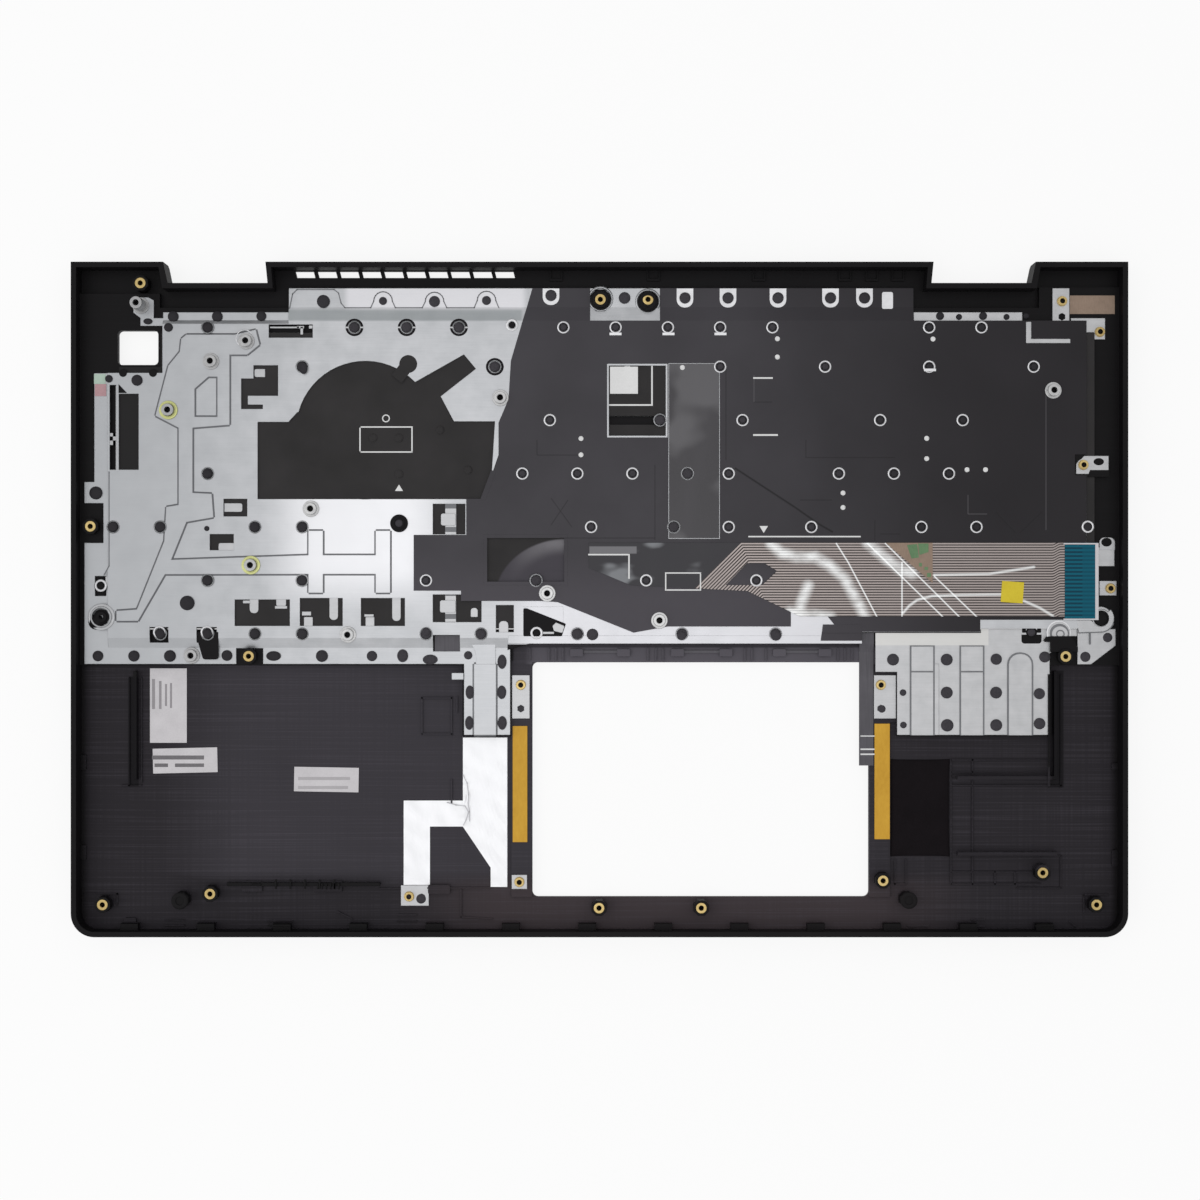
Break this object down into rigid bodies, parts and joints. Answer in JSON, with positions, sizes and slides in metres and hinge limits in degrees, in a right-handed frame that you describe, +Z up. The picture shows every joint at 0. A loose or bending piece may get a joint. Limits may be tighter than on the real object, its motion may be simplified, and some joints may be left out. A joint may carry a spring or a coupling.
{
  "type": "laptop palm rest",
  "caption": "Laptop palm rest lying on its user face: moulded cover with built-in keyboard, steel support plate, insulation film, ribbon, brackets and an open touchpad bay.",
  "frame": {"origin": "middle of the footprint, on the user face that the part lies on", "axes": "+X to the right seen from the open inside, +Y towards the hinges, +Z up out of the tray"},
  "size_m": [0.3584, 0.229, 0.0106],
  "materials": {
    "cover_plastic": "fine matt moulded black",
    "support_steel": "galvanised sheet, dull bright",
    "bracket_steel": "plated sheet",
    "standoff_steel": "turned and plated",
    "film_black": "matt charcoal film",
    "membrane_film": "clear printed film",
    "base_aluminium": "plain rolled",
    "backlight_film": "smooth black film",
    "dome_rubber": "soft moulded",
    "ribbon_film": "glossy film over silver traces",
    "stiffener_teal": "glossy teal",
    "tail_film": "hazy grey film",
    "chip_white": "matt white",
    "insert_brass": "turned, knurled",
    "cable_black": "matt black film",
    "foil_bright": "bright foil",
    "adhesive_ochre": "amber adhesive film",
    "pad_rubber": "matt black foam",
    "label_paper": "plain white",
    "tape_tan": "woven conductive tape",
    "tape_pink": "woven tape",
    "tape_yellow": "plain yellow",
    "key_plastic": "fine matt black"
  },
  "bodies": {
    "palm_rest": {"palm_rest_cover": "cover_plastic", "keyboard_support_plate": "support_steel", "insulation_film": "film_black", "keyboard_membrane": "membrane_film", "keyboard_base_plate": "base_aluminium", "backlight_sheet": "backlight_film", "rubber_domes": "dome_rubber", "keyboard_ribbon": "ribbon_film", "ribbon_stiffener": "stiffener_teal", "backlight_tail": "tail_film", "backlight_driver": "chip_white", "threaded_inserts": "insert_brass", "plate_standoffs": "standoff_steel", "press_nuts": "insert_brass", "touchpad_side_bracket": "support_steel", "touchpad_tabs": "bracket_steel", "touchpad_cable": "cable_black", "ground_foil": "foil_bright", "ground_clip": "bracket_steel", "adhesive_strips": "adhesive_ochre", "foam_pad": "pad_rubber", "label_large": "label_paper", "label_medium": "label_paper", "label_small": "label_paper", "hinge_bracket": "bracket_steel", "side_brackets": "bracket_steel", "conductive_tape": "tape_tan", "edge_tape": "tape_pink", "yellow_tape": "tape_yellow", "ribbon_tape": "tape_tan", "letter_keys": "key_plastic", "function_keys": "key_plastic", "pad_keys": "key_plastic"},
    "key_escape": {"key_escape": "key_plastic"},
    "key_delete": {"key_delete": "key_plastic"},
    "key_backquote": {"key_backquote": "key_plastic"},
    "key_backspace": {"key_backspace": "key_plastic"},
    "key_tab": {"key_tab": "key_plastic"},
    "key_backslash": {"key_backslash": "key_plastic"},
    "key_caps_lock": {"key_caps_lock": "key_plastic"},
    "key_enter": {"key_enter": "key_plastic"},
    "key_left_shift": {"key_left_shift": "key_plastic"},
    "key_right_shift": {"key_right_shift": "key_plastic"},
    "key_left_control": {"key_left_control": "key_plastic"},
    "key_layer": {"key_layer": "key_plastic"},
    "key_system": {"key_system": "key_plastic"},
    "key_left_alt": {"key_left_alt": "key_plastic"},
    "key_space": {"key_space": "key_plastic"},
    "key_right_alt": {"key_right_alt": "key_plastic"},
    "key_right_control": {"key_right_control": "key_plastic"},
    "key_arrow_left": {"key_arrow_left": "key_plastic"},
    "key_arrow_up": {"key_arrow_up": "key_plastic"},
    "key_arrow_down": {"key_arrow_down": "key_plastic"},
    "key_arrow_right": {"key_arrow_right": "key_plastic"},
    "key_pad_plus": {"key_pad_plus": "key_plastic"},
    "key_pad_enter": {"key_pad_enter": "key_plastic"},
    "key_pad_zero": {"key_pad_zero": "key_plastic"},
    "key_pad_point": {"key_pad_point": "key_plastic"}
  },
  "joints": [
    {"name": "key_escape_press", "type": "slide", "parent": "palm_rest", "child": "key_escape", "axis": [0, 0, 1], "range_m": [0, 0.0013], "stiffness_N_per_m": 350, "springref_m": -0.0005, "deforming": ["rubber_domes"]},
    {"name": "key_delete_press", "type": "slide", "parent": "palm_rest", "child": "key_delete", "axis": [0, 0, 1], "range_m": [0, 0.0013], "stiffness_N_per_m": 350, "springref_m": -0.0005, "deforming": ["rubber_domes"]},
    {"name": "key_backquote_press", "type": "slide", "parent": "palm_rest", "child": "key_backquote", "axis": [0, 0, 1], "range_m": [0, 0.0013], "stiffness_N_per_m": 350, "springref_m": -0.0005, "deforming": ["rubber_domes"]},
    {"name": "key_backspace_press", "type": "slide", "parent": "palm_rest", "child": "key_backspace", "axis": [0, 0, 1], "range_m": [0, 0.0013], "stiffness_N_per_m": 350, "springref_m": -0.0005, "deforming": ["rubber_domes"]},
    {"name": "key_tab_press", "type": "slide", "parent": "palm_rest", "child": "key_tab", "axis": [0, 0, 1], "range_m": [0, 0.0013], "stiffness_N_per_m": 350, "springref_m": -0.0005, "deforming": ["rubber_domes"]},
    {"name": "key_backslash_press", "type": "slide", "parent": "palm_rest", "child": "key_backslash", "axis": [0, 0, 1], "range_m": [0, 0.0013], "stiffness_N_per_m": 350, "springref_m": -0.0005, "deforming": ["rubber_domes"]},
    {"name": "key_caps_lock_press", "type": "slide", "parent": "palm_rest", "child": "key_caps_lock", "axis": [0, 0, 1], "range_m": [0, 0.0013], "stiffness_N_per_m": 350, "springref_m": -0.0005, "deforming": ["rubber_domes"]},
    {"name": "key_enter_press", "type": "slide", "parent": "palm_rest", "child": "key_enter", "axis": [0, 0, 1], "range_m": [0, 0.0013], "stiffness_N_per_m": 350, "springref_m": -0.0005, "deforming": ["rubber_domes"]},
    {"name": "key_left_shift_press", "type": "slide", "parent": "palm_rest", "child": "key_left_shift", "axis": [0, 0, 1], "range_m": [0, 0.0013], "stiffness_N_per_m": 350, "springref_m": -0.0005, "deforming": ["rubber_domes"]},
    {"name": "key_right_shift_press", "type": "slide", "parent": "palm_rest", "child": "key_right_shift", "axis": [0, 0, 1], "range_m": [0, 0.0013], "stiffness_N_per_m": 350, "springref_m": -0.0005, "deforming": ["rubber_domes"]},
    {"name": "key_left_control_press", "type": "slide", "parent": "palm_rest", "child": "key_left_control", "axis": [0, 0, 1], "range_m": [0, 0.0013], "stiffness_N_per_m": 350, "springref_m": -0.0005, "deforming": ["rubber_domes"]},
    {"name": "key_layer_press", "type": "slide", "parent": "palm_rest", "child": "key_layer", "axis": [0, 0, 1], "range_m": [0, 0.0013], "stiffness_N_per_m": 350, "springref_m": -0.0005, "deforming": ["rubber_domes"]},
    {"name": "key_system_press", "type": "slide", "parent": "palm_rest", "child": "key_system", "axis": [0, 0, 1], "range_m": [0, 0.0013], "stiffness_N_per_m": 350, "springref_m": -0.0005, "deforming": ["rubber_domes"]},
    {"name": "key_left_alt_press", "type": "slide", "parent": "palm_rest", "child": "key_left_alt", "axis": [0, 0, 1], "range_m": [0, 0.0013], "stiffness_N_per_m": 350, "springref_m": -0.0005, "deforming": ["rubber_domes"]},
    {"name": "key_space_press", "type": "slide", "parent": "palm_rest", "child": "key_space", "axis": [0, 0, 1], "range_m": [0, 0.0013], "stiffness_N_per_m": 350, "springref_m": -0.0005, "deforming": ["rubber_domes"]},
    {"name": "key_right_alt_press", "type": "slide", "parent": "palm_rest", "child": "key_right_alt", "axis": [0, 0, 1], "range_m": [0, 0.0013], "stiffness_N_per_m": 350, "springref_m": -0.0005, "deforming": ["rubber_domes"]},
    {"name": "key_right_control_press", "type": "slide", "parent": "palm_rest", "child": "key_right_control", "axis": [0, 0, 1], "range_m": [0, 0.0013], "stiffness_N_per_m": 350, "springref_m": -0.0005, "deforming": ["rubber_domes"]},
    {"name": "key_arrow_left_press", "type": "slide", "parent": "palm_rest", "child": "key_arrow_left", "axis": [0, 0, 1], "range_m": [0, 0.0013], "stiffness_N_per_m": 350, "springref_m": -0.0005, "deforming": ["rubber_domes"]},
    {"name": "key_arrow_up_press", "type": "slide", "parent": "palm_rest", "child": "key_arrow_up", "axis": [0, 0, 1], "range_m": [0, 0.0013], "stiffness_N_per_m": 350, "springref_m": -0.0005, "deforming": ["rubber_domes"]},
    {"name": "key_arrow_down_press", "type": "slide", "parent": "palm_rest", "child": "key_arrow_down", "axis": [0, 0, 1], "range_m": [0, 0.0013], "stiffness_N_per_m": 350, "springref_m": -0.0005, "deforming": ["rubber_domes"]},
    {"name": "key_arrow_right_press", "type": "slide", "parent": "palm_rest", "child": "key_arrow_right", "axis": [0, 0, 1], "range_m": [0, 0.0013], "stiffness_N_per_m": 350, "springref_m": -0.0005, "deforming": ["rubber_domes"]},
    {"name": "key_pad_plus_press", "type": "slide", "parent": "palm_rest", "child": "key_pad_plus", "axis": [0, 0, 1], "range_m": [0, 0.0013], "stiffness_N_per_m": 350, "springref_m": -0.0005, "deforming": ["rubber_domes"]},
    {"name": "key_pad_enter_press", "type": "slide", "parent": "palm_rest", "child": "key_pad_enter", "axis": [0, 0, 1], "range_m": [0, 0.0013], "stiffness_N_per_m": 350, "springref_m": -0.0005, "deforming": ["rubber_domes"]},
    {"name": "key_pad_zero_press", "type": "slide", "parent": "palm_rest", "child": "key_pad_zero", "axis": [0, 0, 1], "range_m": [0, 0.0013], "stiffness_N_per_m": 350, "springref_m": -0.0005, "deforming": ["rubber_domes"]},
    {"name": "key_pad_point_press", "type": "slide", "parent": "palm_rest", "child": "key_pad_point", "axis": [0, 0, 1], "range_m": [0, 0.0013], "stiffness_N_per_m": 350, "springref_m": -0.0005, "deforming": ["rubber_domes"]}
  ]
}
